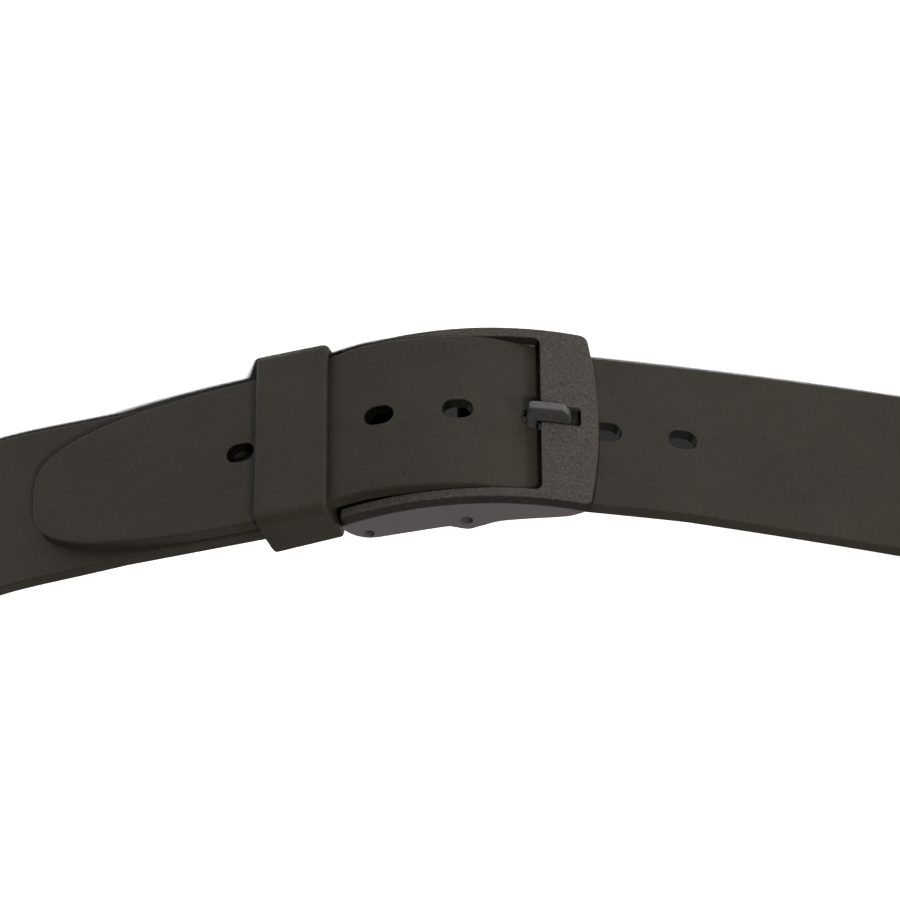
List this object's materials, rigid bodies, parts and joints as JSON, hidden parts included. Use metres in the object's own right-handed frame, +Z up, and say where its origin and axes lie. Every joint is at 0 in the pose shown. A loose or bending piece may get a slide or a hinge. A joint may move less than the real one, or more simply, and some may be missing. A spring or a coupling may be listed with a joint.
{
  "type": "dive weight belt",
  "caption": "Rubber strap closed in a loop by a pin buckle, its slotted tail held against the strap by a sliding keeper.",
  "frame": {"origin": "middle of the belt's bounding box in X and Y, at the height of its lowest point, where it stands", "axes": "+Z up, across the strap's width; -Y outwards through the buckle at the front; +X to the side the tail points to"},
  "size_m": [0.3954, 0.3745, 0.058],
  "materials": {
    "rubber": "matte warm black",
    "textured_frame": "fine-grained dark grey coat",
    "smooth_cheek": "smooth dark grey",
    "steel": "plain steel",
    "dark_prong": "smooth dark coat"
  },
  "bodies": {
    "belt": {"strap": "rubber", "buckle_frame": "textured_frame", "cheek_lower": "smooth_cheek", "cheek_upper": "smooth_cheek", "strap_axle": "steel", "strap_eye_sleeve": "steel", "prong_axle": "steel", "prong_spacer_lower": "smooth_cheek", "prong_spacer_upper": "smooth_cheek"},
    "keeper": {"keeper": "rubber"},
    "prong": {"prong": "dark_prong"}
  },
  "joints": [
    {"name": "keeper_slide", "type": "slide", "parent": "belt", "child": "keeper", "axis": [0.9478, 0.319, 0], "range_m": [0, 0.04]},
    {"name": "prong_pivot", "type": "hinge", "parent": "belt", "child": "prong", "pos_m": [0.00396, -0.17124, 0.029], "axis": [0, 0, 1], "range_deg": [0, 5]}
  ]
}
